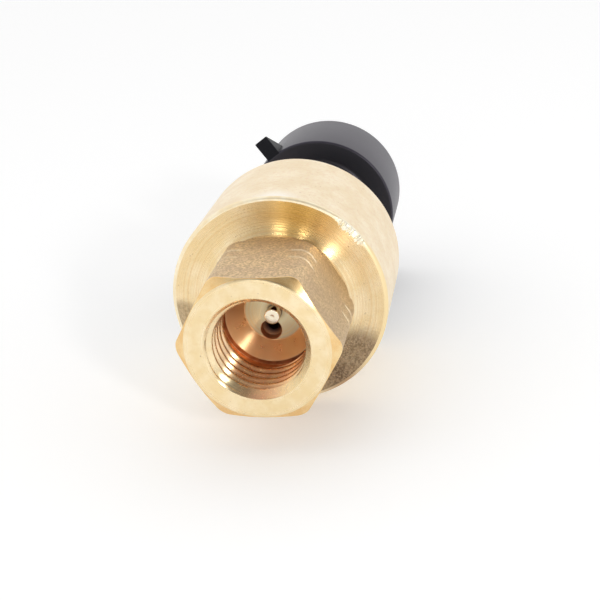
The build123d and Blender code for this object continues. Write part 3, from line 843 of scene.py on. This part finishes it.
def rim_rows(columns):
    """Collar's face beyond the neck's root, and its rounded, chipped rim."""
    random = np.random.default_rng(7)
    wear = rim_wear(columns, random)
    edge = COLLAR_RADIUS - COLLAR_CHAMFER - wear
    root = NECK_RADIUS + NECK_ROOT_REACH
    rows = [(HEX_END, root + (edge - root) * share, COLLAR) for share in (0.2, 0.4, 0.6, 0.8, 0.93)]
    rows.append((HEX_END, edge - 0.02, RIM))
    depth = wear * random.uniform(0, 0.45, len(columns))
    for bend in np.radians((12, 28, 44, 60, 76)):
        station = HEX_END + COLLAR_CHAMFER * (1 - cos(bend)) + depth * cos(bend)
        reach = COLLAR_CHAMFER + wear * (1 - sin(bend))
        rows.append((station, COLLAR_RADIUS - reach * (1 - sin(bend)), RIM))
    return rows


def side_rows():
    """Straight side of the collar, in short steps up to the rolled lip."""
    start = HEX_END + COLLAR_CHAMFER
    length = COLLAR_END - 1.5 - start - 0.03
    rows = [(start, COLLAR_RADIUS, SIDE)]
    for share in np.linspace(0.03, 1, 12):
        rows.append((start + 0.03 + length * share, COLLAR_RADIUS, SIDE))
    return rows


def cup_rows():
    """Rolled lip and the capsule cup inside the collar, down to the axis."""
    outline = [
        (COLLAR_END - 1.2, COLLAR_RADIUS, 0),
        (COLLAR_END, COLLAR_RADIUS - 0.1, 0.5),
        (COLLAR_END - 0.12, LIP_RADIUS, 0.25),
        (LIP_START, LIP_RADIUS, 0.1),
        (LIP_START, CUP_RADIUS, 0),
        (CUP_FLOOR, CUP_RADIUS, 0),
        (CUP_FLOOR, SEAL_GROOVE_OUTER, 0),
        (SEAL_GROOVE_FLOOR, SEAL_GROOVE_OUTER, 0),
        (SEAL_GROOVE_FLOOR, SEAL_GROOVE_INNER, 0),
        (CUP_FLOOR, SEAL_GROOVE_INNER, 0),
        (CUP_FLOOR, CHAMBER_RADIUS, 0),
        (CHAMBER_FRONT, CHAMBER_RADIUS, 0),
        (CHAMBER_FRONT, PASSAGE_CIRCLE + 2 * PASSAGE_RADIUS, 0),
        (CHAMBER_FRONT, 0, 0),
    ]
    return [(y, r, SIDE) for y, r in rounded(outline, 6)]


def port_rows():
    """From the pin hole's end on the axis out over the floor, seat and relief groove."""
    hole = [
        (PIN_END, 0, 0),
        (PIN_END, PIN_RADIUS, 0),
        (SEAT_FLOOR, PIN_RADIUS, 0.03),
        (SEAT_FLOOR, 2.0, 0),
        (SEAT_FLOOR, SEAT_FLOOR_RADIUS - 0.1, 0),
    ]
    seat = [
        (SEAT_FLOOR, SEAT_FLOOR_RADIUS - 0.1, 0),
        (SEAT_FLOOR, SEAT_FLOOR_RADIUS, 0.05),
        (SEAT_START, SEAT_RADIUS, 0.04),
        (SEAT_START, SEAT_RADIUS + 0.1, 0),
    ]
    relief = [
        (SEAT_START, SEAT_RADIUS + 0.1, 0),
        (SEAT_START, RELIEF_RADIUS, 0.08),
        (THREAD_END, RELIEF_RADIUS, 0.05),
    ]
    rows = [(y, r, FLOOR) for y, r in rounded(hole)[:-1]]
    rows += [(y, r, SEAT) for y, r in rounded(seat)[:-1]]
    return rows + [(y, r, RELIEF) for y, r in rounded(relief)]


def face_rows():
    """Flat front face from the mouth's edge outwards."""
    width = FACE_RADIUS - FACE_EDGE_ROUND - MOUTH_RADIUS
    rows = [(0.0, MOUTH_RADIUS + EDGE / 2, FACE)]
    return rows + [(0.0, MOUTH_RADIUS + width * share, FACE) for share in (0.1, 0.3, 0.5, 0.7, 0.9)]


def cut_passage(body, angle):
    """Drills one stepped gas passage from the seat's floor into the chamber."""
    x, z = PASSAGE_CIRCLE * cos(radians(angle)), PASSAGE_CIRCLE * sin(radians(angle))
    step = SEAT_FLOOR + PASSAGE_MOUTH_DEPTH
    outline = [
        (SEAT_FLOOR - 0.3, 0),
        (SEAT_FLOOR - 0.3, PASSAGE_MOUTH_RADIUS + 0.04),
        (SEAT_FLOOR, PASSAGE_MOUTH_RADIUS + 0.04),
        (SEAT_FLOOR + 0.04, PASSAGE_MOUTH_RADIUS),
        (step, PASSAGE_MOUTH_RADIUS),
        (step + 0.3, PASSAGE_RADIUS),
        (CHAMBER_FRONT + 0.3, PASSAGE_RADIUS),
        (CHAMBER_FRONT + 0.3, 0),
    ]
    tool = rod("passage_tool", x, z, outline)
    for material in body.data.materials:
        tool.data.materials.append(material)
    tool.data.polygons.foreach_set("material_index", [PASSAGE] * len(tool.data.polygons))
    combine(body, tool, "DIFFERENCE")


def build_port_body():
    columns = body_columns()
    port = port_rows()
    thread = thread_rows(columns)[::-1]
    outside = face_rows() + hexagon_rows(columns) + rim_rows(columns) + side_rows() + cup_rows()
    first, last = len(port), len(port) + len(thread) - 1

    def seam_shift(row):
        """Thread rows run from the relief to the mouth, so a full turn meets a later row."""
        return min(row + THREAD_ROWS, last) if first <= row <= last else row

    mesh = ring_mesh("port_body_shape", columns, port + thread + outside, seam_shift)
    body = add_object("port_body_shape", mesh)
    for finish in BODY_FINISHES:
        body.data.materials.append(finish())
    for angle in PASSAGE_ANGLES:
        cut_passage(body, angle)
    shade(body.data)
    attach(body, "housing")
    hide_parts("port_body")


def build_depressor_pin():
    outline = [
        (PIN_TIP + 0.02, 0, 0),
        (PIN_TIP + 0.02, 0.12, 0.05),
        (PIN_TIP, 0.3, 0.1),
        (PIN_TIP, PIN_RADIUS, 0.1),
        (SEAT_FLOOR, PIN_RADIUS, 0),
        (SEAT_FLOOR + 0.05, PIN_RADIUS - 0.02, 0),
        (PIN_END - 0.1, PIN_RADIUS - 0.02, 0),
        (PIN_END - 0.1, 0, 0),
    ]
    columns = np.linspace(0, 2 * pi, 96, endpoint=False)
    mesh = ring_mesh("depressor_pin_shape", columns, [(y, r, 0) for y, r in rounded(outline, 6)])
    shade(mesh)
    mesh.materials.append(brass_pin())
    pin = add_object("depressor_pin_shape", mesh)
    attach(pin, "housing")
    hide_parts("depressor_pin")


# ---- connector housing ------------------------------------------------------


def radial_turn(angle):
    """Matrix that carries local (outwards, along Y, sideways) to the row frame at an angle."""
    out = Vector((cos(radians(angle)), 0, sin(radians(angle))))
    along = Vector((0, 1, 0))
    return Matrix((out, along, out.cross(along))).transposed().to_4x4()


def radial_wedge(name, angle, outline, width, bevel):
    """Flat-sided bar at an angle: outline of (radius, station), width across, bevelled edges."""
    shape = bmesh.new()
    sides = []
    for side in (-width / 2, width / 2):
        sides.append([shape.verts.new((r * MM, y * MM, side * MM)) for r, y in outline])
    shape.faces.new(sides[0])
    shape.faces.new(sides[1][::-1])
    for index in range(len(outline)):
        after = (index + 1) % len(outline)
        shape.faces.new((sides[0][after], sides[0][index], sides[1][index], sides[1][after]))
    bmesh.ops.recalc_face_normals(shape, faces=shape.faces)
    edges = shape.edges[:]
    bmesh.ops.bevel(shape, geom=edges, offset=bevel * MM, segments=3, affect="EDGES", profile=0.5)
    mesh = bpy.data.meshes.new(name)
    shape.to_mesh(mesh)
    shape.free()
    mesh.transform(radial_turn(angle))
    return add_object(name, mesh)


def box_tool(name, x, y, z):
    """Plain box tool between pairs of limits in millimetres."""
    shape = bmesh.new()
    bmesh.ops.create_cube(shape, size=1)
    centre = [sum(limits) / 2 * MM for limits in (x, y, z)]
    size = [(limits[1] - limits[0]) * MM for limits in (x, y, z)]
    bmesh.ops.scale(shape, vec=size, verts=shape.verts)
    bmesh.ops.translate(shape, vec=centre, verts=shape.verts)
    mesh = bpy.data.meshes.new(name)
    shape.to_mesh(mesh)
    shape.free()
    return add_object(name, mesh)


def add_latch(housing):
    """Latch ramp on the outside of the shroud, in the housing's second material."""
    outline = [
        (SHROUD_RADIUS - 0.9, SHROUD_START + 0.02),
        (LATCH_RADIUS, SHROUD_START + 0.02),
        (LATCH_RADIUS, SHROUD_START + 0.35),
        (SHROUD_RADIUS - 0.1, SHROUD_START + LATCH_LENGTH),
        (SHROUD_RADIUS - 0.9, SHROUD_START + LATCH_LENGTH),
    ]
    ramp = radial_wedge("latch_tool", LATCH_ANGLE, outline, LATCH_WIDTH, 0.12)
    for plastic in housing.data.materials:
        ramp.data.materials.append(plastic)
    ramp.data.polygons.foreach_set("material_index", [1] * len(ramp.data.polygons))
    combine(housing, ramp, "UNION")


def add_keys(housing):
    """Keying ribs on the socket's wall."""
    outline = [
        (SOCKET_RADIUS - KEY_HEIGHT, SOCKET_FLOOR - 0.3),
        (SOCKET_RADIUS - KEY_HEIGHT, KEY_END),
        (SOCKET_RADIUS + 0.3, KEY_END),
        (SOCKET_RADIUS + 0.3, SOCKET_FLOOR - 0.3),
    ]
    for angle in KEY_ANGLES:
        combine(housing, radial_wedge("key_tool", angle, outline, KEY_WIDTH, 0.1), "UNION")


def cut_blade_slots(housing):
    """Slots in the socket's floor that the terminal blades come through."""
    along = (POTTING_END - 1, SOCKET_FLOOR + 1)
    thickness = (-BLADE_THICKNESS / 2, BLADE_THICKNESS / 2)
    for x in BLADE_X:
        width = (x - BLADE_WIDTH / 2, x + BLADE_WIDTH / 2)
        combine(housing, box_tool("slot_tool", width, along, thickness), "DIFFERENCE")


def build_connector():
    outline = [
        (POTTING_END, 0, 0),
        (POTTING_END, POTTING_RADIUS, 0),
        (FLANGE_FRONT, POTTING_RADIUS, 0),
        (FLANGE_FRONT, FLANGE_RADIUS, 0.1),
        (FLANGE_END, FLANGE_RADIUS, 0.1),
        (FLANGE_END, HOUSING_NECK, 0.8),
        (SHROUD_START, HOUSING_NECK, 0.8),
        (SHROUD_START, SHROUD_RADIUS, 0.3),
        (SHROUD_END, SHROUD_RADIUS, 0.35),
        (SHROUD_END, SOCKET_RADIUS + 0.35, 0.2),
        (SHROUD_END - 0.8, SOCKET_RADIUS, 0.2),
        (SOCKET_FLOOR, SOCKET_RADIUS, 0.3),
        (SOCKET_FLOOR, 0, 0),
    ]
    columns = np.linspace(0, 2 * pi, 256, endpoint=False)
    mesh = ring_mesh("connector_shape", columns, [(y, r, 0) for y, r in rounded(outline, 6)])
    housing = add_object("connector_shape", mesh)
    shine = {"Roughness": 0.36, "Specular_IOR_Level": 0.12}
    housing.data.materials.append(shroud_plastic())
    housing.data.materials.append(moulded("connector_latch", (0.008, 0.008, 0.011), **shine))
    add_latch(housing)
    add_keys(housing)
    cut_blade_slots(housing)
    shade(housing.data)
    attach(housing, "housing")
    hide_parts("connector_housing")


# ---- the other CAD nodes keep their shapes and get a finish -------------------


def dress(materials):
    """Gives each CAD node that stays in view the finish of its material slot."""
    slots = {part["node"]: part["material_slot"] for part in frame["record"]["subparts"]}
    for node, piece in frame["nodes"].items():
        if piece.hide_render:
            continue
        piece.data.materials.clear()
        piece.data.materials.append(materials[slots[node]])


def dress_cad_nodes():
    dress(
        {
            "brass": brass_bore(),
            "connector_plastic": moulded("housing_plastic", (0.012, 0.013, 0.016)),
            "inner_plastic": moulded("inner_plastic", (0.55, 0.50, 0.40), Roughness=0.45),
            "seal_rubber": moulded("seal_rubber", (0.03, 0.03, 0.032), 0.02, Roughness=0.6),
            "diaphragm_film": moulded("diaphragm_film", (0.72, 0.38, 0.06), 0.004, Roughness=0.15),
            "spring_steel": rolled("spring_steel", (0.56, 0.56, 0.57)),
            "ceramic_pin": moulded("ceramic_pin", (0.80, 0.79, 0.75), 0.004, Roughness=0.2),
            "contact_copper": rolled("contact_copper", (0.78, 0.46, 0.26)),
            "contact_silver": rolled("contact_silver", (0.86, 0.85, 0.82), 0.22),
            "tinned_terminal": rolled("tinned_terminal", (0.74, 0.74, 0.72), 0.3, (1, 0.15, 1)),
            "potting_resin": moulded("potting_resin", (0.03, 0.03, 0.035), 0.004, Roughness=0.12),
        }
    )


add_camera()
add_surroundings()
build_port_body()
build_depressor_pin()
build_connector()
dress_cad_nodes()
